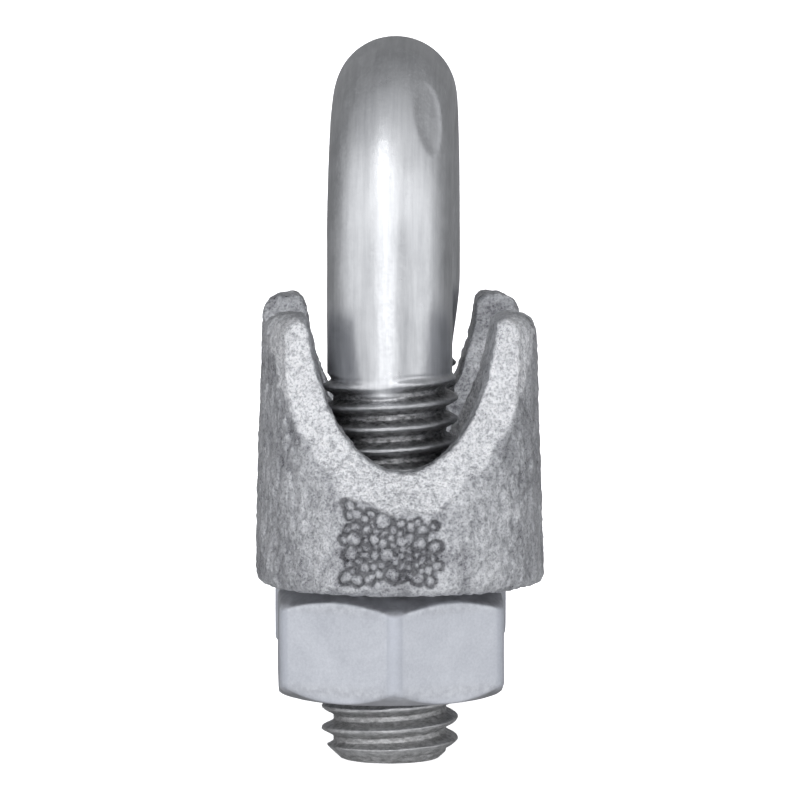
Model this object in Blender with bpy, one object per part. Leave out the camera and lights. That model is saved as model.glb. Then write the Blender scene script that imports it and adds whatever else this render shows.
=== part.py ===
"""Wire rope clip for 10 mm rope: a U-bolt with two M8 legs, a malleable cast saddle and two hex nuts.

The clip stands on its leg ends. X runs along the rope, Y from leg to leg, Z up, and the origin is on the
standing surface under the saddle's middle. The saddle sits askew on the legs, within the play of its holes.
Units are metres.
"""

from math import acos, cos, pi, radians, sin, sqrt, tan

import bmesh
import bpy
from mathutils import Matrix, Vector

MM = 0.001

# Driving dimensions
ROPE_DIAMETER = 10.0 * MM
THREAD_DIAMETER = 8.0 * MM
THREAD_PITCH = 1.25 * MM
CLIP_HEIGHT = 42.0 * MM
NUT_ACROSS_FLATS = 13.0 * MM
NUT_HEIGHT = 6.3 * MM
SADDLE_WIDTH = 16.7 * MM
SADDLE_HEIGHT = 15.65 * MM

# U-bolt
ROPE_PLAY = 1.0 * MM
LEG_SPACING = ROPE_DIAMETER + THREAD_DIAMETER + ROPE_PLAY
LEG_Y = LEG_SPACING / 2
LEG_X = -0.3 * MM
SHANK_RADIUS = 3.65 * MM
THREAD_RADIUS = THREAD_DIAMETER / 2
THREAD_DEPTH = 0.70 * MM
THREADED_LENGTH = 22.7 * MM
RUN_OUT = 1.3 * MM
LEG_END_RADIUS = 3.0 * MM
FIRST_CREST = 1.075 * MM
BOW_CENTRE_Z = CLIP_HEIGHT - SHANK_RADIUS - LEG_Y
BOW_TURN = radians(-1.9)
TURN_START = 20.5 * MM
TURN_END = 27.5 * MM

# The thread's corners along one pitch, in pitches from a crest's middle
CREST_HALF_WIDTH = 1 / 16
ROOT_EDGE = 3 / 8
THREAD_CORNERS = (-CREST_HALF_WIDTH, CREST_HALF_WIDTH, ROOT_EDGE, 1 - ROOT_EDGE)

# Nuts: how far up the legs they sit, and how they are turned about their legs
LEG_STUB = 3.85 * MM
NUT_TOP = LEG_STUB + NUT_HEIGHT
FOOT_FACE_RADIUS = 6.4 * MM
FOOT_CHAMFER_SLOPE = 0.75
TOP_FACE_RADIUS = 5.85 * MM
TOP_CHAMFER_SLOPE = 0.65
THREAD_CLEARANCE = 0.10 * MM
COUNTERSINK = 0.45 * MM
FRONT_NUT_TURN = radians(-87.5)
REAR_NUT_TURN = radians(13.5)

# Saddle
SEAT_GAP = 0.2 * MM
SADDLE_BOTTOM = NUT_TOP + SEAT_GAP
SADDLE_SKEW = radians(1.9)
LEG_HOLE_RADIUS = 4.9 * MM
BASE_RADIUS = SADDLE_WIDTH / 2
TOP_RADIUS = 7.9 * MM
FOOT_ROUND = 0.5 * MM
HORN_ROUND = 1.2 * MM
SEAT_FLOOR = 4.0 * MM
SEAT_RADIUS = 5.6 * MM
SEAT_FLARE = radians(22)
VALLEY_FLOOR = 6.85 * MM
VALLEY_HALF_WIDTH = 5.6 * MM
VALLEY_REACH = 10.5 * MM
VALLEY_DRAFT = 0.35 * MM
VALLEY_ROUND = 0.7 * MM
RIM_DEPTH = 1.9 * MM
RIB_COUNT = 4
RIB_SPACING = 2.9 * MM
RIB_WIDTH = 1.1 * MM
RIB_HEIGHT = 0.45 * MM
RIB_LEAN = 2.2 * MM
RIB_REACH = radians(62)
ARCH_RADIUS = 5.0 * MM
ARCH_RISE = 1.1 * MM

# Fineness
THREAD_SIDES = 24
BOW_STEPS = 24
ROUND_SIDES = 32
SMALL = 0.03 * MM


# Shared building blocks


def clear_scene():
    for obj in list(bpy.data.objects):
        bpy.data.objects.remove(obj, do_unlink=True)


def metal(name, colour, roughness):
    material = bpy.data.materials.new(name)
    material.use_nodes = True
    shader = material.node_tree.nodes["Principled BSDF"]
    shader.inputs["Base Color"].default_value = (*colour, 1)
    shader.inputs["Metallic"].default_value = 1
    shader.inputs["Roughness"].default_value = roughness
    return material


def mesh_from(bm, name):
    bmesh.ops.recalc_face_normals(bm, faces=bm.faces)
    mesh = bpy.data.meshes.new(name)
    bm.to_mesh(mesh)
    bm.free()
    return mesh


def add_object(name, mesh, location=(0, 0, 0), turn=0.0):
    obj = bpy.data.objects.new(name, mesh)
    obj.location = location
    obj.rotation_euler.z = turn
    bpy.context.scene.collection.objects.link(obj)
    return obj


def add_part(name, mesh, material, location, turn=0.0):
    mesh.materials.append(material)
    mesh.shade_smooth()
    mesh.set_sharp_from_angle(angle=radians(35))
    return add_object(name, mesh, location, turn)


def combine(target, operation, tool):
    """Puts a Boolean on target. The tool object itself isn't part of the clip."""
    tool.hide_render = True
    tool.display_type = "WIRE"
    modifier = target.modifiers.new(tool.name, "BOOLEAN")
    modifier.operation = operation
    modifier.solver = "EXACT"
    modifier.object = tool


def skin_rings(bm, rings):
    for lower, upper in zip(rings, rings[1:]):
        for i in range(len(lower)):
            j = (i + 1) % len(lower)
            bm.faces.new((lower[i], lower[j], upper[j], upper[i]))


def loft(name, loops):
    """A closed solid skinned over loops of equally many points, capped at both ends."""
    bm = bmesh.new()
    rings = [[bm.verts.new(point) for point in loop] for loop in loops]
    skin_rings(bm, rings)
    bm.faces.new(rings[0])
    bm.faces.new(rings[-1])
    return mesh_from(bm, name)


def arc(centre, radius, start, end, steps):
    """Points (u, v) round a centre, both ends included."""
    angles = [start + (end - start) * i / steps for i in range(steps + 1)]
    return [(centre[0] + radius * cos(a), centre[1] + radius * sin(a)) for a in angles]


def circle_loop(radius, z, sides):
    return [
        (radius * cos(2 * pi * i / sides), radius * sin(2 * pi * i / sides), z) for i in range(sides)
    ]


# Screw threads


def thread_form(height, turn):
    """How far the thread stands above its root, 0 to 1, at a height and a turn about the leg."""
    pitches = (height - FIRST_CREST) / THREAD_PITCH - turn
    from_crest = abs(pitches - round(pitches))
    rise = (ROOT_EDGE - from_crest) / (ROOT_EDGE - CREST_HALF_WIDTH)
    return min(1.0, max(0.0, rise))


def leg_radius(height, turn):
    """The threaded leg's radius: chamfered at its end, and running out into the shank at the top."""
    full = THREAD_RADIUS - THREAD_DEPTH * (1 - thread_form(height, turn))
    left = min(1.0, max(0.0, (THREADED_LENGTH - height) / RUN_OUT))
    threaded = SHANK_RADIUS + left * (full - SHANK_RADIUS)
    return min(threaded, LEG_END_RADIUS + height)


def tap_radius(height, turn):
    """The nut's thread, with clearance to the leg's thread, and countersunk at both faces."""
    threaded = THREAD_RADIUS - THREAD_DEPTH * (1 - thread_form(height, turn)) + THREAD_CLEARANCE
    inside = min(height - LEG_STUB, NUT_TOP - height)
    return max(threaded, THREAD_RADIUS + THREAD_CLEARANCE + COUNTERSINK - max(inside, 0))


def thread_columns(bm, bottom, top, radius_at, place):
    """Upright columns of vertices round a leg, with a vertex on each of the thread's helical corners."""
    turns_up = range(-2, int(top / THREAD_PITCH) + 2)
    columns = []
    for side in range(THREAD_SIDES):
        turn = side / THREAD_SIDES
        corners = [
            FIRST_CREST + THREAD_PITCH * (n + corner + turn)
            for n in turns_up
            for corner in THREAD_CORNERS
        ]
        heights = [bottom, *(z for z in corners if bottom + SMALL < z < top - SMALL), top]
        column = []
        for z in heights:
            r = radius_at(z, turn)
            point = Vector((r * cos(2 * pi * turn), r * sin(2 * pi * turn), z))
            column.append(bm.verts.new(place @ point))
        columns.append((column, heights))
    return columns


def zip_columns(bm, left, right, side):
    """Joins two neighbouring columns with triangles that follow the helix."""
    (left_verts, left_z), (right_verts, right_z) = left, right
    left_key = [z - THREAD_PITCH * side / THREAD_SIDES for z in left_z]
    right_key = [z - THREAD_PITCH * (side + 1) / THREAD_SIDES for z in right_z]
    a = b = 0
    while a < len(left_verts) - 1 or b < len(right_verts) - 1:
        left_done = a == len(left_verts) - 1
        right_done = b == len(right_verts) - 1
        if right_done or (not left_done and left_key[a + 1] <= right_key[b + 1] + SMALL / 10):
            bm.faces.new((left_verts[a], right_verts[b], left_verts[a + 1]))
            a += 1
        else:
            bm.faces.new((left_verts[a], right_verts[b], right_verts[b + 1]))
            b += 1


def threaded_tube(bm, bottom, top, radius_at, place=Matrix.Identity(4)):
    """The threaded surface. Returns the rings of vertices at its bottom and its top."""
    columns = thread_columns(bm, bottom, top, radius_at, place)
    for side in range(THREAD_SIDES):
        zip_columns(bm, columns[side], columns[(side + 1) % THREAD_SIDES], side)
    return [column[0][0] for column in columns], [column[0][-1] for column in columns]


# U-bolt


def threaded_leg(bm, place):
    """One leg from its flat end up to the shank. Returns its open top ring."""
    end_ring, top_ring = threaded_tube(bm, 0, THREADED_LENGTH, leg_radius, place)
    bm.faces.new(end_ring)
    return top_ring


def bow_ring(bm, centre, inward):
    """A ring of the plain bar: inward points from the bar's centre line to the inside of the bow."""
    ring = []
    for side in range(THREAD_SIDES):
        angle = 2 * pi * side / THREAD_SIDES
        across = Vector((SHANK_RADIUS * cos(angle), 0, 0))
        ring.append(bm.verts.new(centre + across + SHANK_RADIUS * sin(angle) * inward))
    return ring


def turn_bow(bm):
    """Turns the bow a little about the front leg's axis, so that the rear shank leans sideways to meet it."""
    pivot = Vector((0, -LEG_Y, 0))
    for vert in bm.verts:
        t = min(1, max(0, (vert.co.z - TURN_START) / (TURN_END - TURN_START)))
        turn = BOW_TURN * t * t * (3 - 2 * t)
        vert.co = pivot + Matrix.Rotation(turn, 3, "Z") @ (vert.co - pivot)


def make_u_bolt(material):
    bm = bmesh.new()
    front_place = Matrix.Translation((0, -LEG_Y, 0))
    half_turn = Matrix.Rotation(pi, 4, "Z")
    front_top = threaded_leg(bm, front_place)
    rear_top = threaded_leg(bm, half_turn @ front_place)
    rings = [front_top]
    for step in range(BOW_STEPS + 1):
        angle = pi * step / BOW_STEPS
        outward = Vector((0, -cos(angle), sin(angle)))
        centre = Vector((0, 0, BOW_CENTRE_Z)) + LEG_Y * outward
        rings.append(bow_ring(bm, centre, -outward))
    # The rear leg is the front one turned half round, so its ring runs the other way from the bow's.
    rings.append([rear_top[(THREAD_SIDES // 2 - i) % THREAD_SIDES] for i in range(THREAD_SIDES)])
    skin_rings(bm, rings)
    turn_bow(bm)
    return add_part("u_bolt", mesh_from(bm, "u_bolt"), material, (LEG_X, 0, 0))


# Nuts


def hexagon(z):
    return circle_loop(NUT_ACROSS_FLATS / sqrt(3), z, 6)


def chamfer_body():
    """A turned body that rounds off the hexagon's corners at both faces."""
    wide = NUT_ACROSS_FLATS / sqrt(3) + 0.3 * MM
    rise = (wide - FOOT_FACE_RADIUS) * FOOT_CHAMFER_SLOPE
    drop = (wide - TOP_FACE_RADIUS) * TOP_CHAMFER_SLOPE
    profile = ((FOOT_FACE_RADIUS, 0), (wide, rise), (wide, NUT_HEIGHT - drop), (TOP_FACE_RADIUS, NUT_HEIGHT))
    return loft("chamfers", [circle_loop(r, z, 2 * ROUND_SIDES) for r, z in profile])


def tap_body():
    """The threaded core that the nut's hole is cut with. It stands where the leg stands, in mesh with it."""
    bm = bmesh.new()
    for ring in threaded_tube(bm, LEG_STUB - 0.5 * MM, NUT_TOP + 0.5 * MM, tap_radius):
        bm.faces.new(ring)
    return mesh_from(bm, "tap")


def make_nut(name, leg_turn, hex_turn, material):
    """leg_turn is 0 for the front leg and half a turn for the rear one."""
    leg_y = -LEG_Y * cos(leg_turn)
    blank = loft(name, [hexagon(-0.5 * MM), hexagon(NUT_HEIGHT + 0.5 * MM)])
    nut = add_part(name, blank, material, (LEG_X, leg_y, LEG_STUB), hex_turn)
    chamfers = add_object(name + "_chamfers", chamfer_body(), nut.location)
    tap = add_object(name + "_tap", tap_body(), (LEG_X, leg_y, 0), leg_turn)
    combine(nut, "INTERSECT", chamfers)
    combine(nut, "DIFFERENCE", tap)
    return nut


# Saddle, in its own frame: Z is measured from its underside


def stadium(radius, z):
    """The plan outline: straight flanks and a half-round end about each leg."""
    front = arc((0, -LEG_Y), radius, pi, 2 * pi, ROUND_SIDES // 2)
    rear = arc((0, LEG_Y), radius, 0, pi, ROUND_SIDES // 2)
    return [(x, y, z) for x, y in front + rear]


def saddle_blank():
    """The casting before its hollows: a drafted block with a rounded foot and rounded upper edge."""
    foot = arc((BASE_RADIUS - FOOT_ROUND, FOOT_ROUND), FOOT_ROUND, -pi / 2, 0, 3)
    crown = arc((TOP_RADIUS - HORN_ROUND, SADDLE_HEIGHT - HORN_ROUND), HORN_ROUND, 0, pi / 2, 4)
    return loft("saddle", [stadium(radius, z) for radius, z in foot + crown])


def rope_trough():
    """The rope's seat: a half-round floor with flared walls, cut right through along X."""
    above = SADDLE_HEIGHT + 2 * MM
    centre_z = SEAT_FLOOR + SEAT_RADIUS
    floor = arc((0, centre_z), SEAT_RADIUS, pi + SEAT_FLARE, 2 * pi - SEAT_FLARE, 14)
    spread = (above - floor[0][1]) * tan(SEAT_FLARE)
    outline = [(floor[0][0] - spread, above), *floor, (floor[-1][0] + spread, above)]
    return loft("trough", [[(x, y, z) for y, z in outline] for x in (-SADDLE_WIDTH, SADDLE_WIDTH)])


def valley_side():
    """Half of the U that the leg looks out through: a quarter of a tall ellipse with a flared mouth.
    Each point is (half width, height, rim width, slope of the side)."""
    points = []
    top_angle = acos(1 - (SADDLE_HEIGHT - VALLEY_ROUND - VALLEY_FLOOR) / VALLEY_REACH)
    for i in range(10):
        share = i / 9
        t = top_angle * share
        width = VALLEY_HALF_WIDTH * sin(t)
        height = VALLEY_FLOOR + VALLEY_REACH * (1 - cos(t))
        rim = (2.3 - 0.6 * share + 0.75 * sin(pi * share) * (1.1 - 0.5 * share)) * MM
        points.append((width, height, rim, VALLEY_REACH / VALLEY_HALF_WIDTH * tan(t)))
    width, height, rim, slope = points[-1]
    for x, z in arc((width + VALLEY_ROUND, height), VALLEY_ROUND, pi, pi / 2, 3)[1:]:
        points.append((x, z, rim, slope))
    points.append((width + VALLEY_ROUND, SADDLE_HEIGHT + 2 * MM, rim, slope))
    return points


def face_y(width):
    """The saddle's rounded end, as a distance from the middle of the clip."""
    reach = BASE_RADIUS - 0.1 * MM
    return LEG_Y + sqrt(max(reach**2 - width**2, (2.5 * MM) ** 2))


def valley(end):
    """The leg's window through one end of the saddle, opening outwards in a wide bevelled rim.
    end is -1 for the front and 1 for the rear."""
    throat, inner, outer, beyond = [], [], [], []
    side = valley_side()
    mirrored = [(1, *p) for p in side] + [(-1, *p) for p in reversed(side[1:])]
    for hand, width, z, rim, slope in mirrored:
        narrow = width * (1 - VALLEY_DRAFT / VALLEY_HALF_WIDTH)
        widen = Vector((slope, -1)).normalized() * rim
        edge = Vector((width, face_y(width) - RIM_DEPTH, z))
        lip = Vector((width + widen[0], face_y(width + widen[0]), z + widen[1]))
        past = lip + 0.8 * (lip - edge)
        throat.append((hand * narrow, end * 2 * MM, z))
        inner.append((hand * edge.x, end * edge.y, edge.z))
        outer.append((hand * past.x, end * past.y, past.z))
        beyond.append((hand * past.x, end * (LEG_Y + SADDLE_WIDTH), past.z))
    return loft("valley", [throat, inner, outer, beyond])


def leg_hole(end):
    loops = [circle_loop(LEG_HOLE_RADIUS, z, ROUND_SIDES) for z in (-MM, SADDLE_HEIGHT + MM)]
    return loft("leg_hole", [[(x, y + end * LEG_Y, z) for x, y, z in loop] for loop in loops])


def underside_arch():
    """The relief between the two nut seats."""
    centre_z = ARCH_RISE - ARCH_RADIUS
    outline = arc((0, centre_z), ARCH_RADIUS, radians(20), radians(160), 10)
    return loft("arch", [[(x, y, z) for y, z in outline] for x in (-SADDLE_WIDTH, SADDLE_WIDTH)])


def seat_rib(middle):
    """One oblique rib that bites into the rope's lay, following the seat round."""
    steps = 10
    centre_z = SEAT_FLOOR + SEAT_RADIUS
    loops = []
    for i in range(steps + 1):
        swing = RIB_REACH * (2 * i / steps - 1)
        x = middle + RIB_LEAN * swing / RIB_REACH
        section = (
            (x - RIB_WIDTH, SEAT_RADIUS + RIB_HEIGHT),
            (x - RIB_WIDTH / 4, SEAT_RADIUS - RIB_HEIGHT),
            (x + RIB_WIDTH / 4, SEAT_RADIUS - RIB_HEIGHT),
            (x + RIB_WIDTH, SEAT_RADIUS + RIB_HEIGHT),
        )
        loops.append([(u, r * sin(swing), centre_z - r * cos(swing)) for u, r in section])
    return loft("rib", loops)


def make_saddle(material):
    saddle = add_part("saddle", saddle_blank(), material, (0, 0, SADDLE_BOTTOM), SADDLE_SKEW)
    ribs = [seat_rib(RIB_SPACING * (i - (RIB_COUNT - 1) / 2)) for i in range(RIB_COUNT)]
    steps = [("DIFFERENCE", rope_trough()), ("DIFFERENCE", underside_arch())]
    steps += [("UNION", rib) for rib in ribs]
    for end in (-1, 1):
        steps += [("DIFFERENCE", valley(end)), ("DIFFERENCE", leg_hole(end))]
    for operation, mesh in steps:
        tool = add_object("saddle_" + mesh.name, mesh, saddle.location, SADDLE_SKEW)
        combine(saddle, operation, tool)
    return saddle


def main():
    clear_scene()
    bright_zinc = metal("bright_zinc", (0.74, 0.75, 0.77), 0.25)
    satin_zinc = metal("satin_zinc", (0.62, 0.64, 0.68), 0.42)
    galvanised_iron = metal("galvanised_iron", (0.60, 0.61, 0.63), 0.52)
    make_u_bolt(bright_zinc)
    make_saddle(galvanised_iron)
    make_nut("nut_front", 0, FRONT_NUT_TURN, satin_zinc)
    make_nut("nut_rear", pi, REAR_NUT_TURN, satin_zinc)


main()
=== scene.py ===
"""Wire rope clip: fine surfaces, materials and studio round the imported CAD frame."""

from math import cos, pi, radians, sin, sqrt

import bpy
import numpy as np
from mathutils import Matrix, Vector


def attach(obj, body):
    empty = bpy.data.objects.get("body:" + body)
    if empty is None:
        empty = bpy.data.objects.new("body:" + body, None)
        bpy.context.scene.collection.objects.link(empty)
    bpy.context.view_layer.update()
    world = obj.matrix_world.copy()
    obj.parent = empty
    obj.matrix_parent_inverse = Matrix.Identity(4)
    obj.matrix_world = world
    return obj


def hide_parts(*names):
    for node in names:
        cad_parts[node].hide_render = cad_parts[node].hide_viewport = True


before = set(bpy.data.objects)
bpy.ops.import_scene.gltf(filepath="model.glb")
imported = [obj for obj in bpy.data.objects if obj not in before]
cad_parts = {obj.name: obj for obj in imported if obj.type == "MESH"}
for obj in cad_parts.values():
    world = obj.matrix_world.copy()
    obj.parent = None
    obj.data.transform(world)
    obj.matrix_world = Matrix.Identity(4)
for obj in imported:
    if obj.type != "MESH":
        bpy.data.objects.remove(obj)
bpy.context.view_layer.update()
MM = 0.001

# The clip's dimensions, in millimetres, as the CAD has them
PITCH = 1.25
FIRST_CREST = 1.075
THREAD_R = 4.0
THREAD_DEPTH = 0.70
THREAD_TOP = 22.7
LEG_END_R = 3.0
SHANK_R = 3.65
LEG_X = -0.3
LEG_Y = 9.5
CLIP_HEIGHT = 42.0
BOW_Z = CLIP_HEIGHT - SHANK_R - LEG_Y
BOW_LENGTH = pi * LEG_Y
BOW_TURN = radians(-1.9)
TURN_START = 20.5
TURN_END = 27.5
NUT_AF = 13.0
NUT_HEIGHT = 6.3
NUT_BOTTOM = 3.85
FOOT_FACE_R = 6.4
FOOT_SLOPE = 0.75
TOP_FACE_R = 5.85
TOP_SLOPE = 0.65
FRONT_NUT_TURN = radians(-87.5)
REAR_NUT_TURN = radians(13.5)
SEAT_GAP = 0.2
SADDLE_SKEW = radians(1.9)
SADDLE_BOTTOM = NUT_BOTTOM + NUT_HEIGHT + SEAT_GAP
VALLEY_FLOOR = 6.85
WINDOW_HALF_WIDTH = 5.6
WINDOW_REACH = 10.5
WINDOW_CENTRE = SADDLE_BOTTOM + VALLEY_FLOOR + WINDOW_REACH

# The fine surface's own dimensions, in millimetres, or in pitches for the thread's edges
CREST_EDGE = 0.05
ROOT_EDGE = 0.40
THREAD_ROUNDING = 0.6
FADE_BELOW_TOP = 0.15
FADE_LENGTH = 0.75
TONGUE_TURN = 0.27
TONGUE_HALF_TURN = 0.10
TONGUE_BOTTOM = 20.9
LEG_END_SLOPE = 0.95
NUT_CORNER_R = 0.8
NUT_MOUTH = 0.55
BORE_INSET = 0.1
TAPPED_CLEARANCE = 0.12
RIM_WIDTH = 2.3
COLLAR_SKIN_R = 6.4
HOLE_SKIN_R = 4.6


# ---------------------------------------------------------------- numeric noise


def lattice(cell, seed):
    """A repeatable number from 0 to 1 for each whole-number cell."""
    cell = cell.astype(np.int64)
    n = cell[..., 0] * 73856093 ^ cell[..., 1] * 19349663 ^ cell[..., 2] * 83492791 ^ seed * 2654435761
    n = (n ^ (n >> 13)) * 1274126177 & 0x7FFFFFFF
    n = (n ^ (n >> 16)) * 668265263 & 0x7FFFFFFF
    return ((n ^ (n >> 15)) & 0xFFFFFF) / float(0xFFFFFF)


def value_noise(points, size, seed):
    """Smooth noise from -1 to 1 with features of about size, one size for all axes or one each."""
    p = points / np.asarray(size, float)
    base = np.floor(p)
    f = p - base
    f = f * f * f * (f * (f * 6 - 15) + 10)
    total = 0
    for dx in (0, 1):
        for dy in (0, 1):
            for dz in (0, 1):
                weight = (
                    (f[..., 0] if dx else 1 - f[..., 0])
                    * (f[..., 1] if dy else 1 - f[..., 1])
                    * (f[..., 2] if dz else 1 - f[..., 2])
                )
                total = total + weight * lattice(base + (dx, dy, dz), seed)
    return total * 2 - 1


def bubbles(points, size, seed):
    """1 at the middle of each scattered bubble, falling to 0 at its rim: a cell noise."""
    p = points / size
    base = np.floor(p)
    nearest = np.full(p.shape[:-1], 9.0)
    for dx in (-1, 0, 1):
        for dy in (-1, 0, 1):
            for dz in (-1, 0, 1):
                cell = base + (dx, dy, dz)
                centre = cell + np.stack([lattice(cell, seed + k) for k in (1, 2, 3)], -1)
                away = np.linalg.norm(p - centre, axis=-1) / (0.45 + 0.5 * lattice(cell, seed + 4))
                nearest = np.minimum(nearest, away)
    return np.sqrt(np.clip(1 - nearest**2, 0, 1))


def smooth_step(x):
    """An even rise from 0 to 1 while x goes from 0 to 1."""
    x = np.clip(x, 0, 1)
    return x * x * (3 - 2 * x)


# ---------------------------------------------------------------- meshes


def grid_object(name, points, closed_along, attributes, uv=None):
    """A mesh from a grid of points in millimetres. Each row is a closed ring.

    The rings close on themselves where closed_along is set, and otherwise the two end rings get a cap.
    uv gives each ring's place along the bar, in millimetres.
    """
    rows, across = points.shape[:2]
    verts = points.reshape(-1, 3) * MM
    last = rows if closed_along else rows - 1
    i = np.arange(last)[:, None]
    j = np.arange(across)[None, :]
    up, right = (i + 1) % rows, (j + 1) % across
    quads = np.stack(
        [i * across + j, i * across + right, up * across + right, up * across + j], -1
    ).reshape(-1, 4)
    faces = quads.tolist()
    if not closed_along:
        faces.append(list(range(across))[::-1])
        faces.append([(rows - 1) * across + k for k in range(across)])
    mesh = bpy.data.meshes.new(name)
    mesh.from_pydata(verts.tolist(), [], faces)
    if uv is not None:
        corner_uv = np.zeros((len(mesh.loops), 2), np.float32)
        this_row, this_column = i + 0 * j, j + 0 * i
        i_corner = np.stack([this_row, this_row, this_row + 1, this_row + 1], -1)
        j_corner = np.stack([this_column, this_column + 1, this_column + 1, this_column], -1)
        on_sides = last * across * 4
        corner_uv[:on_sides, 0] = (j_corner / across).reshape(-1)
        corner_uv[:on_sides, 1] = np.append(uv, uv[-1])[i_corner].reshape(-1)
        layer = mesh.uv_layers.new(name="bar")
        layer.data.foreach_set("uv", corner_uv.reshape(-1))
    for key, values in attributes.items():
        attribute = mesh.attributes.new(key, "FLOAT", "POINT")
        attribute.data.foreach_set("value", values.reshape(-1).astype(np.float32))
    mesh.shade_smooth()
    return add_object(name, mesh)


def add_object(name, mesh):
    obj = bpy.data.objects.new(name, mesh)
    bpy.context.scene.collection.objects.link(obj)
    return obj


def finish_piece(obj, node, material):
    """Give a piece its material and say which CAD node it rides on and stands for."""
    obj.data.materials.clear()
    obj.data.materials.append(material)
    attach(obj, node)
    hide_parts(node)


# ---------------------------------------------------------------- U-bolt


def thread_form(height, turn):
    """How far the thread stands above its root, 0 to 1, with rounded roots and crests."""
    pitches = (height - FIRST_CREST) / PITCH - turn
    from_crest = np.abs(pitches - np.round(pitches))
    form = np.clip((ROOT_EDGE - from_crest) / (ROOT_EDGE - CREST_EDGE), 0, 1)
    return form * (1 - THREAD_ROUNDING) + smooth_step(form) * THREAD_ROUNDING


def bolt_radius(height, turn, points):
    """The bar's radius at a height along it and a turn about it, with the values its material reads.

    Those are how far the surface stands above the thread's roots, and how far the bar is threaded.
    """
    form = thread_form(height, turn)
    # the crests are torn here and there, and the roots carry scratches along the thread
    helix = np.stack([turn * 25, (height - PITCH * turn) * 9, 0 * height], -1)
    torn = value_noise(helix, (1.6, 1.5, 1), 5)
    scratches = np.abs(value_noise(helix, (0.7, 0.6, 1), 8))
    form = form - 0.10 * np.clip(torn, 0, 1) * form - 0.02 * scratches
    full = THREAD_R - THREAD_DEPTH * (1 - form)
    # the run-out: the last groove fades into the shank, filled where the bar's skin hangs over it as a tongue
    wobble = 0.16 * value_noise(np.stack([turn * 6, 0 * turn, 0 * turn], -1), 1, 12)
    fade = smooth_step((THREAD_TOP - FADE_BELOW_TOP + wobble - height) / FADE_LENGTH)
    from_front = np.abs((turn + TONGUE_TURN + 0.5) % 1 - 0.5)
    tongue = smooth_step(1 - from_front / TONGUE_HALF_TURN) * smooth_step((height - TONGUE_BOTTOM) / 0.5)
    fade = fade * (1 - 0.85 * tongue)
    radius = SHANK_R + fade * (full - SHANK_R)
    # the end's chamfer, a little rounded, with an uneven edge
    end = LEG_END_R + LEG_END_SLOPE * height - 0.12 * np.clip(0.6 - height, 0, 1)
    radius = np.minimum(radius, end + 0.03 * value_noise(points, 0.8, 3))
    radius = radius + 0.010 * value_noise(points, 2.4, 21) + 0.004 * value_noise(points, 0.6, 22)
    return radius, form * fade + (1 - fade), fade


# The bending tool's marks: place along the bow from its front end, degrees from the bow's outermost line,
# positive towards +X, half length, half width and depth
BENDING_MARKS = (
    (radians(44) * LEG_Y, 38, 2.1, 1.05, 0.20),
    (radians(54) * LEG_Y, -62, 1.1, 0.7, 0.10),
    (BOW_LENGTH - radians(41) * LEG_Y, -39, 2.2, 1.1, 0.18),
    (BOW_LENGTH - radians(50) * LEG_Y, 63, 1.1, 0.7, 0.09),
)


def bending_marks(along, side_angle):
    """How deep the bending marks cut into the bow. Each is steep on its outer side and soft inside."""
    cut = 0 * along
    for at, turned, half_long, half_wide, depth in BENDING_MARKS:
        u = (along - at) / half_long
        v = (side_angle - radians(turned)) * SHANK_R / half_wide
        v = v + 0.18 * u
        inside = np.clip(1 - u**2 - v**2, 0, 1)
        outer_side = smooth_step(v * np.sign(turned) + 0.5)
        cut = np.maximum(cut, depth * inside ** (1.1 - 0.65 * outer_side))
    return cut


def make_u_bolt(material):
    """The bar, swept from the front leg's end over the bow to the rear leg's end."""
    fine, coarse, sides = ((0.05, 0.16, 192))
    leg = np.concatenate([np.arange(0, THREAD_TOP, fine), np.arange(THREAD_TOP, BOW_Z, coarse)])
    bow_steps = int(BOW_LENGTH / coarse)
    bow = BOW_Z + BOW_LENGTH * np.arange(bow_steps + 1) / bow_steps
    total = 2 * BOW_Z + BOW_LENGTH
    along = np.concatenate([leg, bow, (total - leg)[::-1]])
    angle = np.clip((along - BOW_Z) / LEG_Y, 0, pi)
    centre_y = -LEG_Y * np.cos(angle)
    past_front_leg = np.where(along > BOW_Z + BOW_LENGTH, total - along, BOW_Z + LEG_Y * np.sin(angle))
    centre_z = np.where(along < BOW_Z, along, past_front_leg)
    inward_y, inward_z = np.cos(angle), -np.sin(angle)
    around = 2 * pi * np.arange(sides) / sides
    cos_a, sin_a = np.cos(around)[None, :], np.sin(around)[None, :]

    def surface(radius):
        return np.stack(
            [
                radius * cos_a,
                centre_y[:, None] + radius * sin_a * inward_y[:, None],
                centre_z[:, None] + radius * sin_a * inward_z[:, None],
            ],
            -1,
        )

    height = np.minimum(along, total - along)[:, None] + 0 * cos_a
    front = (along < total / 2)[:, None]
    turn = np.where(front, around[None, :], -around[None, :] - pi) / (2 * pi)
    plain = surface(np.full_like(height, SHANK_R))
    radius, stands, fade = bolt_radius(height, turn, plain)
    side_angle = (around[None, :] + pi / 2 + pi) % (2 * pi) - pi
    radius = radius - bending_marks((along - BOW_Z)[:, None] + 0 * cos_a, side_angle + 0 * height)
    points = surface(radius)
    points[..., 2] = np.maximum(points[..., 2], 0)
    # the bow is turned about the front leg's axis
    turned = BOW_TURN * smooth_step((points[..., 2] - TURN_START) / (TURN_END - TURN_START))
    x, y = points[..., 0].copy(), points[..., 1] + LEG_Y
    points[..., 0] = x * np.cos(turned) - y * np.sin(turned) + LEG_X
    points[..., 1] = x * np.sin(turned) + y * np.cos(turned) - LEG_Y
    stub = smooth_step((NUT_BOTTOM + 0.6 - height) / 1.2)
    attributes = {"stands": stands, "threaded": fade, "stub": stub}
    obj = grid_object("u_bolt_fine", points, False, attributes, uv=along)
    finish_piece(obj, "u_bolt", material)


# ---------------------------------------------------------------- nuts


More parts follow.
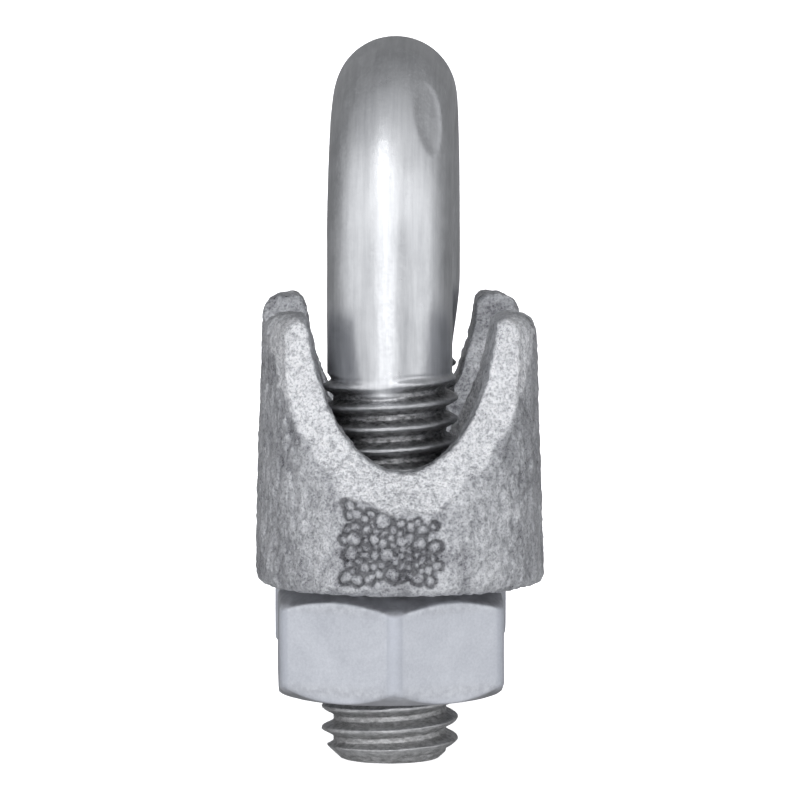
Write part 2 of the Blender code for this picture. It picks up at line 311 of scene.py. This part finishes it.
def hexagon_outline(corner_radius, corner_steps, flat_steps):
    """Points round a hexagon with rounded corners, the first corner on +X."""
    flat = NUT_AF / 2
    points = []
    for corner in range(6):
        middle = corner * pi / 3
        reach = (flat - corner_radius) / cos(pi / 6)
        centre = np.array([cos(middle), sin(middle)]) * reach
        for k in range(corner_steps + 1):
            a = middle + (k / corner_steps - 0.5) * pi / 3
            points.append(centre + corner_radius * np.array([cos(a), sin(a)]))
        start = points[-1]
        following = middle + pi / 3
        end = np.array([cos(following), sin(following)]) * reach
        a = following - pi / 6
        end = end + corner_radius * np.array([cos(a), sin(a)])
        for k in range(1, flat_steps):
            points.append(start + (end - start) * k / flat_steps)
    return np.array(points)


def nut_profile(outline_r):
    """(radius, height) all round one section of the nut, from the bore's bottom outwards and back."""
    low = max(0, (outline_r - FOOT_FACE_R) * FOOT_SLOPE)
    high = NUT_HEIGHT - max(0, (outline_r - TOP_FACE_R) * TOP_SLOPE)
    mouth = THREAD_R + NUT_MOUTH
    bore = THREAD_R + BORE_INSET
    corners = [
        (bore, NUT_MOUTH),
        (mouth, 0.0),
        (min(FOOT_FACE_R, outline_r), 0.0),
        (outline_r, low),
        (outline_r, high),
        (min(TOP_FACE_R, outline_r), NUT_HEIGHT),
        (mouth, NUT_HEIGHT),
        (bore, NUT_HEIGHT - NUT_MOUTH),
    ]
    corners.append(corners[0])
    counts = (4, 14, 10, 46, 10, 12, 4, 44)
    points = []
    for (a, b), (c, d), count in zip(corners, corners[1:], counts):
        steps = count
        for k in range(steps):
            points.append((a + (c - a) * k / steps, b + (d - b) * k / steps))
    return np.array(points)


def make_nut(node, leg_turn, hex_turn, material, seed):
    """A nut on the leg that is leg_turn round from the front one, with its hexagon turned by hex_turn."""
    outline = hexagon_outline(NUT_CORNER_R, 10, 40)
    profile = np.array([nut_profile(sqrt(x * x + y * y)) for x, y in outline])
    # soften the edges a little
    for _ in range(3):
        profile = 0.5 * profile + 0.25 * (np.roll(profile, 1, 1) + np.roll(profile, -1, 1))
    direction = outline / np.linalg.norm(outline, axis=1)[:, None]
    height = profile[..., 1] + NUT_BOTTOM
    # the hole's own thread, in mesh with its leg
    centre = np.array([LEG_X, -LEG_Y * cos(leg_turn)])
    c, s = cos(hex_turn), sin(hex_turn)
    spun = direction @ np.array([[c, s], [-s, c]])
    turn = (np.arctan2(spun[:, 1], spun[:, 0]) - leg_turn) / (2 * pi)
    form = thread_form(height, turn[:, None] + 0 * height)
    tapped = THREAD_R - THREAD_DEPTH * (1 - form) + TAPPED_CLEARANCE
    inside = smooth_step((THREAD_R + 0.2 - profile[..., 0]) / 0.1)
    radius = profile[..., 0] + inside * (tapped - profile[..., 0])
    xy = spun[:, None, :] * radius[..., None] + centre
    points = np.concatenate([xy, height[..., None]], -1)
    # nicks along the edges, and a slight unevenness of the flats
    outer = smooth_step((profile[..., 0] - 5.2) / 0.4)
    nicks = np.clip(value_noise(points, 1.1, seed) - 0.35, 0, 1) * 0.05
    ends = np.minimum(profile[..., 1], NUT_HEIGHT - profile[..., 1])
    edge = smooth_step(1 - np.abs(ends - 0.7) / 0.7)
    rough = 0.012 * value_noise(points, 1.6, seed + 1) + 0.004 * value_noise(points, 0.35, seed + 2)
    shift = outer * (rough - nicks * edge)
    points[..., :2] += spun[:, None, :] * shift[..., None]
    # masks for the material: the chamfers, the edges, and the hexagon's six corners
    flat_r = np.linalg.norm(outline, axis=1)[:, None]
    in_chamfer = smooth_step((flat_r - 0.03 - profile[..., 0]) / 0.08)
    chamfer = in_chamfer * smooth_step((profile[..., 0] - 4.3) / 0.3)
    corner = smooth_step((flat_r - 7.19) / 0.10) * smooth_step((profile[..., 0] - 6.9) / 0.15)
    attributes = {"chamfer": chamfer, "edge": edge * outer, "corner": corner}
    obj = grid_object(node + "_fine", points, True, attributes)
    finish_piece(obj, node, material)


# ---------------------------------------------------------------- saddle


def remeshed(node, voxel, smoothing):
    """A copy of a CAD node with an even, fine skin and softened edges."""
    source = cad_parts[node]
    copy = add_object(node + "_fine", source.data.copy())
    remesh = copy.modifiers.new("skin", "REMESH")
    remesh.mode = "VOXEL"
    remesh.voxel_size = voxel * MM
    smooth = copy.modifiers.new("soften", "SMOOTH")
    smooth.factor = 0.5
    smooth.iterations = smoothing
    graph = bpy.context.evaluated_depsgraph_get()
    graph.update()
    mesh = bpy.data.meshes.new_from_object(copy.evaluated_get(graph))
    copy.modifiers.clear()
    copy.data = mesh
    return copy


def vertex_arrays(mesh):
    """A mesh's points, in millimetres, and normals."""
    n = len(mesh.vertices)
    points = np.empty(n * 3, np.float32)
    normals = np.empty(n * 3, np.float32)
    mesh.vertices.foreach_get("co", points)
    mesh.vertices.foreach_get("normal", normals)
    return points.reshape(-1, 3).astype(float) / MM, normals.reshape(-1, 3).astype(float)


def nodule_field(local):
    """Height of the beads crowded on the collar's front face, and how far into their patch a point is."""
    left, right, top, top_slope, crowding, tries = -3.3, 1.9, 15.6, 0.32, 0.86, 4000
    rng = np.random.default_rng(11)
    beads = []
    for _ in range(tries):
        x, z = rng.uniform(-3.6, 2.2), rng.uniform(11.25, 16.0)
        r = rng.uniform(0.20, 0.36) * (1.3 if rng.random() < 0.25 else 1)
        ragged = 0.35 * sin(3.1 * z) + 0.25 * sin(5.3 * z + 1)
        if x > right + ragged or x < left + ragged or z > top - top_slope * (x - left) + ragged:
            continue
        if all((x - a) ** 2 + (z - b) ** 2 > (crowding * (r + c)) ** 2 for a, b, c in beads):
            beads.append((x, z, r))
    front = smooth_step((-local[:, 1] - LEG_Y - 4.5) / 1.0)
    height = np.zeros(len(local))
    near = np.zeros(len(local))
    warped_x = local[:, 0] + 0.11 * value_noise(local, 0.45, 47)
    warped_z = local[:, 2] + 0.11 * value_noise(local, 0.45, 48)
    for x, z, r in beads:
        d2 = ((warped_x - x) ** 2 + (warped_z - z) ** 2) / r**2
        height = np.maximum(height, np.sqrt(np.clip(1 - d2, 0, 1)) * r * 0.8)
        near = np.maximum(near, np.clip(1.7 - d2 / 1.6, 0, 1))
    return height * front, near * front


def make_saddle(material):
    """The casting: the CAD's saddle with softened edges and a pebbly skin."""
    voxel, smoothing = ((0.11, 12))
    obj = remeshed("saddle", voxel, smoothing)
    mesh = obj.data
    points, normals = vertex_arrays(mesh)
    c, s = cos(-SADDLE_SKEW), sin(-SADDLE_SKEW)
    spin = np.array([[c, -s, 0], [s, c, 0], [0, 0, 1]])
    local = points @ spin.T
    n_local = normals @ spin.T

    # where the surface is: outer skin, flanks, end faces and window rims
    from_leg = np.hypot(local[:, 0], np.abs(local[:, 1]) - LEG_Y)
    outer = smooth_step((from_leg - COLLAR_SKIN_R) / 0.8)
    upright = 1 - smooth_step((np.abs(n_local[:, 2]) - 0.35) / 0.3)
    flank = smooth_step((np.abs(n_local[:, 0]) - 0.75) / 0.2) * outer
    end_face = smooth_step((np.abs(local[:, 1]) - LEG_Y - 1.0) / 2.0) * outer * upright
    facing_out = np.clip(np.sign(local[:, 1]) * n_local[:, 1], 0, 1)
    below_centre = np.clip((WINDOW_CENTRE - local[:, 2]) / (WINDOW_REACH + RIM_WIDTH), 0, None)
    ragged = 0.03 * value_noise(local, 0.9, 46)
    in_rim = 1 - np.hypot(local[:, 0] / (WINDOW_HALF_WIDTH + RIM_WIDTH), below_centre) + ragged
    rim = smooth_step(in_rim / 0.03) * smooth_step((facing_out - 0.1) / 0.2)

    # the skin's relief, from wide swells down to single grains
    pebbles = bubbles(local + 0.12 * value_noise(local, 0.7, 40)[:, None], 0.95, 50)
    grains = bubbles(local, 0.48, 60)
    swell = value_noise(local, 3.2, 41) * 0.6 + value_noise(local, 1.4, 42) * 0.4
    streaks = value_noise(local, (0.38, 0.38, 1.7), 43)
    pits = np.clip(value_noise(local, 0.55, 44) - 0.45, 0, 1)

    rough = 1 - 0.55 * rim
    relief = (
        0.050 * swell
        + rough * (0.080 * pebbles + 0.060 * grains)
        + 0.040 * (flank + 0.4 * end_face) * streaks
        + 0.040 * value_noise(local, 0.32, 45)
        - 0.16 * pits * (0.5 + 0.5 * outer)
    )
    beads, patch = nodule_field(local)
    relief = relief * (1 - 0.6 * patch) + 0.85 * beads - 0.17 * patch
    calm = smooth_step((from_leg - HOLE_SKIN_R) / 0.5)
    relief = relief * (0.35 + 0.65 * calm) - 0.05
    moved = local + n_local * relief[:, None]
    back = moved @ spin
    # the casting keeps clear of the nuts under it
    back[:, 2] = np.maximum(back[:, 2], SADDLE_BOTTOM - 0.1)
    mesh.vertices.foreach_set("co", (back * MM).astype(np.float32).reshape(-1))
    # painted shade: the skin's hollows and the crevices between the beads are darkened, and the material
    # reads this as the relief attribute
    between_beads = patch * (1 - np.clip(beads * 6, 0, 1))
    shade = np.clip(0.5 + 2.2 * (relief + 0.05) - 0.5 * between_beads, 0, 1)
    for key, values in (("relief", shade), ("rim", rim), ("flank", flank)):
        attribute = mesh.attributes.new(key, "FLOAT", "POINT")
        attribute.data.foreach_set("value", values.astype(np.float32))
    mesh.update()
    mesh.shade_smooth()
    finish_piece(obj, "saddle", material)


# ---------------------------------------------------------------- materials


def set_range(node, low, high, to_low, to_high):
    """Set the four numbers of a Map Range node."""
    for key, number in (("From Min", low), ("From Max", high), ("To Min", to_low), ("To Max", to_high)):
        node.inputs[key].default_value = number


class Shader:
    """A small helper that builds one material's node tree round a Principled BSDF."""

    def __init__(self, name, metallic):
        self.material = bpy.data.materials.new(name)
        self.material.use_nodes = True
        self.tree = self.material.node_tree
        self.shader = self.tree.nodes["Principled BSDF"]
        self.shader.inputs["Metallic"].default_value = metallic
        self.where = self.add("ShaderNodeTexCoord").outputs["Object"]

    def add(self, kind, **settings):
        node = self.tree.nodes.new(kind)
        for key, value in settings.items():
            setattr(node, key, value)
        return node

    def link(self, source, target):
        self.tree.links.new(source, target)

    def feed(self, socket, value):
        if isinstance(value, bpy.types.NodeSocket):
            self.link(value, socket)
        else:
            socket.default_value = value

    def scaled(self, source, scale):
        mapping = self.add("ShaderNodeMapping")
        self.link(source, mapping.inputs["Vector"])
        mapping.inputs["Scale"].default_value = scale
        return mapping.outputs["Vector"]

    def noise(self, where, scale, detail=3.0, roughness=0.55, distortion=0.0):
        node = self.add("ShaderNodeTexNoise")
        self.link(where, node.inputs["Vector"])
        node.inputs["Scale"].default_value = scale
        node.inputs["Detail"].default_value = detail
        node.inputs["Roughness"].default_value = roughness
        node.inputs["Distortion"].default_value = distortion
        return node.outputs["Fac"]

    def cells(self, where, scale):
        node = self.add("ShaderNodeTexVoronoi", feature="F1")
        self.link(where, node.inputs["Vector"])
        node.inputs["Scale"].default_value = scale
        return node.outputs["Distance"]

    def attribute(self, name):
        return self.add("ShaderNodeAttribute", attribute_name=name).outputs["Fac"]

    def maths(self, operation, a, b=0.0, clamp=False):
        node = self.add("ShaderNodeMath", operation=operation, use_clamp=clamp)
        self.feed(node.inputs[0], a)
        self.feed(node.inputs[1], b)
        return node.outputs[0]

    def remap(self, value, low, high, to_low, to_high):
        node = self.add("ShaderNodeMapRange")
        self.feed(node.inputs["Value"], value)
        set_range(node, low, high, to_low, to_high)
        return node.outputs["Result"]

    def ramp(self, value, stops):
        node = self.add("ShaderNodeValToRGB")
        self.feed(node.inputs["Fac"], value)
        elements = node.color_ramp.elements
        while len(elements) < len(stops):
            elements.new(0.5)
        for element, (position, colour) in zip(elements, stops):
            element.position = position
            element.color = (*colour, 1)
        return node.outputs["Color"]

    def mix(self, factor, a, b, blend="MIX"):
        node = self.add("ShaderNodeMix", data_type="RGBA", blend_type=blend)
        self.feed(node.inputs["Factor"], factor)
        for socket, value in ((node.inputs[6], a), (node.inputs[7], b)):
            if isinstance(value, tuple):
                socket.default_value = (*value, 1)
            else:
                self.link(value, socket)
        return node.outputs[2]

    def bump(self, height, strength, distance, onto=None):
        node = self.add("ShaderNodeBump")
        node.inputs["Strength"].default_value = strength
        node.inputs["Distance"].default_value = distance
        self.link(height, node.inputs["Height"])
        if onto is not None:
            self.link(onto, node.inputs["Normal"])
        return node.outputs["Normal"]

    def finish(self, colour, roughness, normal):
        self.link(colour, self.shader.inputs["Base Color"])
        self.link(roughness, self.shader.inputs["Roughness"])
        self.link(normal, self.shader.inputs["Normal"])
        return self.material


def bright_zinc():
    """Plated bar: mirror-like under a thin haze, with drawing streaks along it, and painted shade in the
    thread's roots and over the threaded part.
    """
    s = Shader("bright_zinc_plating", 1.0)
    bar = s.add("ShaderNodeUVMap", uv_map="bar").outputs["UV"]
    streaks = s.noise(s.scaled(bar, (60, 0.22, 1)), 1.0, 4, 0.6)
    haze = s.noise(s.where, 330, 4, 0.6)
    speckle = s.noise(s.where, 5200, 2, 0.5)
    clouds = s.noise(s.where, 130, 3, 0.5, 0.6)
    stands = s.attribute("stands")
    threaded = s.attribute("threaded")
    tone = s.maths("ADD", s.maths("MULTIPLY", streaks, 0.45), s.maths("MULTIPLY", clouds, 0.55))
    colour = s.ramp(
        tone,
        [(0.30, (0.50, 0.51, 0.53)), (0.50, (0.66, 0.67, 0.69)), (0.70, (0.80, 0.81, 0.83))],
    )
    # painted shade: a dark tone from a grime noise is laid into the thread's roots and, more lightly, over
    # the whole threaded part
    grime_and_shade = s.noise(s.scaled(s.where, (1, 1, 2.2)), 2300, 5, 0.7)
    dull_and_shaded = s.ramp(
        grime_and_shade,
        [(0.36, (0.10, 0.10, 0.10)), (0.52, (0.30, 0.30, 0.31)), (0.68, (0.58, 0.58, 0.59))],
    )
    root_shade = s.maths("MULTIPLY", s.remap(stands, 1.0, 0.45, 0.0, 0.95), threaded, clamp=True)
    colour = s.mix(s.maths("MULTIPLY", threaded, 0.35), colour, dull_and_shaded)
    colour = s.mix(root_shade, colour, dull_and_shaded)
    # painted shade: the thread inside the saddle is painted darker than the leg's end below the nut, which
    # gets this lighter tone
    unshaded_stub = s.ramp(grime_and_shade, [(0.36, (0.36, 0.36, 0.36)), (0.62, (0.66, 0.66, 0.66))])
    colour = s.mix(s.maths("MULTIPLY", s.attribute("stub"), 0.65), colour, unshaded_stub)
    roughness = s.remap(haze, 0.3, 0.7, 0.27, 0.40)
    roughness = s.maths("ADD", roughness, s.remap(speckle, 0.4, 0.7, 0.0, 0.10))
    roughness = s.maths("ADD", roughness, s.maths("MULTIPLY", threaded, 0.06))
    fine = s.bump(speckle, 0.25, 0.00002)
    lines = s.bump(streaks, 0.10, 0.00003, fine)
    wavy = s.bump(clouds, 0.20, 0.00010, lines)
    rough_thread = s.bump(s.maths("MULTIPLY", grime_and_shade, threaded), 0.55, 0.00010, wavy)
    return s.finish(colour, roughness, rough_thread)


def galvanised_iron():
    """Rough casting with a galvanised skin: rims painted lighter where they face the light, painted shade in
    the hollows, dark specks, streaked flanks.
    """
    s = Shader("galvanised_casting", 0.85)
    relief = s.attribute("relief")
    rim = s.attribute("rim")
    flank = s.attribute("flank")
    grit = s.noise(s.where, 2900, 6, 0.72)
    sparkle = s.noise(s.where, 7200, 3, 0.6)
    mottle = s.noise(s.where, 420, 4, 0.6, 0.4)
    bead = s.cells(s.where, 1500)
    runs = s.noise(s.scaled(s.where, (1.0, 1.0, 0.16)), 2300, 4, 0.6)
    tone = s.maths("ADD", s.maths("MULTIPLY", grit, 0.5), s.maths("MULTIPLY", mottle, 0.5))
    colour = s.ramp(
        tone,
        [(0.36, (0.24, 0.24, 0.26)), (0.48, (0.50, 0.51, 0.53)), (0.60, (0.72, 0.73, 0.75))],
    )
    # painted shade: the hollows and the crevices between the beads are darkened by the relief attribute
    hollow_shade = s.ramp(
        relief,
        [(0.15, (0.16, 0.16, 0.17)), (0.5, (0.74, 0.74, 0.75)), (0.75, (1, 1, 1))],
    )
    colour = s.mix(0.75, colour, hollow_shade, "MULTIPLY")
    streaked = s.ramp(runs, [(0.36, (0.20, 0.20, 0.22)), (0.62, (0.62, 0.63, 0.65))])
    colour = s.mix(s.maths("MULTIPLY", flank, 0.45), colour, streaked)
    # painted light: the rim band is painted lighter, where it faces the light
    painted_rim_light = s.ramp(
        grit,
        [(0.34, (0.50, 0.51, 0.53)), (0.50, (0.90, 0.91, 0.93)), (0.60, (0.98, 0.98, 0.99))],
    )
    colour = s.mix(s.maths("MULTIPLY", rim, 0.68), colour, painted_rim_light)
    specks = s.ramp(
        sparkle,
        [(0.38, (0.50, 0.50, 0.52)), (0.50, (0.90, 0.90, 0.91)), (0.60, (1, 1, 1))],
    )
    colour = s.mix(0.8, colour, specks, "MULTIPLY")
    roughness = s.remap(mottle, 0.3, 0.7, 0.22, 0.38)
    roughness = s.maths("ADD", roughness, s.remap(grit, 0.35, 0.7, 0.0, 0.12))
    normal = s.bump(sparkle, 0.90, 0.00006)
    normal = s.bump(grit, 0.90, 0.00016, normal)
    normal = s.bump(bead, 0.40, 0.00010, normal)
    normal = s.bump(runs, 0.35, 0.00007, normal)
    return s.finish(colour, roughness, normal)


def satin_zinc():
    """Plated nut: fine matt grain on the flats, chamfers painted darker (partly duller metal, partly painted
    shade), scuffed edges, matt corners.
    """
    s = Shader("satin_zinc_plating", 1.0)
    chamfer = s.attribute("chamfer")
    edge = s.attribute("edge")
    corner = s.attribute("corner")
    grain = s.noise(s.where, 6500, 3, 0.6)
    clouds = s.noise(s.where, 260, 4, 0.6, 0.5)
    brushed = s.noise(s.scaled(s.where, (1, 1, 0.3)), 3800, 3, 0.6)
    tone = s.maths("ADD", s.maths("MULTIPLY", grain, 0.4), s.maths("MULTIPLY", clouds, 0.6))
    colour = s.ramp(tone, [(0.35, (0.55, 0.57, 0.62)), (0.65, (0.72, 0.74, 0.79))])
    dull_and_shaded = s.ramp(clouds, [(0.3, (0.42, 0.42, 0.44)), (0.7, (0.66, 0.66, 0.68))])
    # the chamfers are painted darker: partly a duller machined face, partly painted shade like the saddle's
    # over the top chamfer
    colour = s.mix(s.maths("MULTIPLY", chamfer, 0.65), colour, dull_and_shaded)
    scuffs = s.noise(s.where, 2100, 4, 0.65)
    scuffed = s.ramp(scuffs, [(0.42, (0.30, 0.30, 0.32)), (0.62, (0.80, 0.81, 0.83))])
    colour = s.mix(s.maths("MULTIPLY", edge, 0.25), colour, scuffed)
    colour = s.mix(s.maths("MULTIPLY", corner, 0.30), colour, (0.58, 0.60, 0.65))
    roughness = s.remap(clouds, 0.3, 0.7, 0.36, 0.48)
    roughness = s.maths("ADD", roughness, s.maths("MULTIPLY", corner, 0.25))
    roughness = s.maths("ADD", roughness, s.maths("MULTIPLY", grain, 0.10))
    normal = s.bump(grain, 0.30, 0.00002)
    normal = s.bump(brushed, 0.12, 0.00003, normal)
    return s.finish(colour, roughness, normal)


# ---------------------------------------------------------------- studio

# The studio's dimensions, in metres, and how bright its floor and its surroundings are. The camera's target,
# lens and sensor are in millimetres.
FLOOR_RADIUS = 2.4
FLOOR_BEND = 0.8
WALL_TOP = 3.0
FLOOR_DROP = 0.00002
FLOOR_GLOW = 0.62
FRONT_GLOW = 0.67
BACK_GLOW = 0.22
CAMERA_TARGET = (0.30, -LEG_Y, 20.90)
CAMERA_YAW = radians(0.15)
CAMERA_PITCH = radians(4.7)
CAMERA_DISTANCE = 0.271
CAMERA_LENS = 209.5
CAMERA_SENSOR = 36


def make_floor():
    """A pale seamless sweep: a level disc that curves up into a wall all round."""
    sides, bend_steps = 96, 12
    profile = [(0.0, 0.0), (FLOOR_RADIUS, 0.0)]
    for step in range(1, bend_steps + 1):
        a = pi / 2 * step / bend_steps
        profile.append((FLOOR_RADIUS + FLOOR_BEND * sin(a), FLOOR_BEND * (1 - cos(a))))
    profile.append((FLOOR_RADIUS + FLOOR_BEND, WALL_TOP))
    verts = [(0.0, 0.0, 0.0)]
    for radius, z in profile[1:]:
        for k in range(sides):
            a = 2 * pi * k / sides
            verts.append((radius * cos(a), radius * sin(a), z))
    faces = [(0, 1 + k, 1 + (k + 1) % sides) for k in range(sides)]
    for ring in range(len(profile) - 2):
        low = 1 + ring * sides
        for k in range(sides):
            j = (k + 1) % sides
            faces.append((low + k, low + sides + k, low + sides + j, low + j))
    mesh = bpy.data.meshes.new("floor")
    mesh.from_pydata(verts, [], faces)
    mesh.shade_smooth()
    material = bpy.data.materials.new("pale_floor")
    material.use_nodes = True
    shader = material.node_tree.nodes["Principled BSDF"]
    shader.inputs["Base Color"].default_value = (0.86, 0.86, 0.87, 1)
    shader.inputs["Roughness"].default_value = 0.9
    shader.inputs["Specular IOR Level"].default_value = 0.0
    shader.inputs["Emission Color"].default_value = (1, 1, 1, 1)
    shader.inputs["Emission Strength"].default_value = FLOOR_GLOW
    mesh.materials.append(material)
    floor = add_object("floor", mesh)
    floor.location.z = -FLOOR_DROP
    floor.visible_glossy = False
    floor.visible_shadow = False


def soft_light(name, place, towards, width, height, radiance, in_reflections=True):
    """A rectangular soft light, width by height in metres. radiance is how bright its face is."""
    data = bpy.data.lights.new(name, "AREA")
    data.shape = "RECTANGLE"
    data.size = width
    data.size_y = height
    data.energy = radiance * width * height * pi
    light = bpy.data.objects.new(name, data)
    light.location = place
    light.visible_glossy = in_reflections
    aim = Vector(towards) - Vector(place)
    light.rotation_euler = aim.to_track_quat("-Z", "Y").to_euler()
    bpy.context.scene.collection.objects.link(light)


def make_world():
    """A soft tent that lights the clip and shows in its metal: bright in front, dim behind."""
    world = bpy.data.worlds.new("studio")
    world.use_nodes = True
    tree = world.node_tree
    background = tree.nodes["Background"]

    where = tree.nodes.new("ShaderNodeTexCoord")
    axes = tree.nodes.new("ShaderNodeSeparateXYZ")
    glow = tree.nodes.new("ShaderNodeMapRange")
    glow.interpolation_type = "SMOOTHSTEP"
    set_range(glow, -0.25, 0.65, FRONT_GLOW, BACK_GLOW)
    tree.links.new(where.outputs["Generated"], axes.inputs[0])
    tree.links.new(axes.outputs["Y"], glow.inputs["Value"])
    tree.links.new(glow.outputs["Result"], background.inputs["Strength"])
    background.inputs["Color"].default_value = (0.97, 0.98, 1.0, 1)
    bpy.context.scene.world = world


def make_lights():
    """A tall key in front, two small lamps for the shank's highlights, a fill on each side and one above."""
    middle = (0, 0, 0.022)
    soft_light("key", (-0.050, -0.45, 0.14), middle, 0.31, 0.70, 1.12)
    soft_light("lamp_left", (-0.11, -0.30, 0.42), middle, 0.08, 0.08, 9.0)
    soft_light("lamp_right", (0.22, -0.33, 0.27), middle, 0.06, 0.06, 3.0)
    soft_light("side_right", (0.42, -0.26, 0.14), middle, 0.50, 0.50, 0.46)
    soft_light("side_left", (-0.42, -0.22, 0.16), middle, 0.50, 0.50, 0.42)
    soft_light("overhead", (0, 0, 1.5), middle, 1.6, 1.6, 0.7, in_reflections=False)


def make_camera():
    """A long lens in front of the clip, a little above it."""
    level = cos(CAMERA_PITCH)
    aim = Vector((-sin(CAMERA_YAW) * level, cos(CAMERA_YAW) * level, -sin(CAMERA_PITCH)))
    data = bpy.data.cameras.new("camera")
    data.sensor_width = CAMERA_SENSOR
    data.lens = CAMERA_LENS
    data.clip_start = 0.01
    camera = bpy.data.objects.new("camera", data)
    camera.location = Vector(CAMERA_TARGET) * MM - aim * CAMERA_DISTANCE
    camera.rotation_euler = aim.to_track_quat("-Z", "Y").to_euler()
    bpy.context.scene.collection.objects.link(camera)
    bpy.context.scene.camera = camera


make_u_bolt(bright_zinc())
nut_material = satin_zinc()
make_nut("nut_front", 0, FRONT_NUT_TURN, nut_material, 70)
make_nut("nut_rear", pi, REAR_NUT_TURN, nut_material, 80)
make_saddle(galvanised_iron())
make_floor()
make_world()
make_lights()
make_camera()
bpy.context.scene.view_settings.view_transform = "Standard"
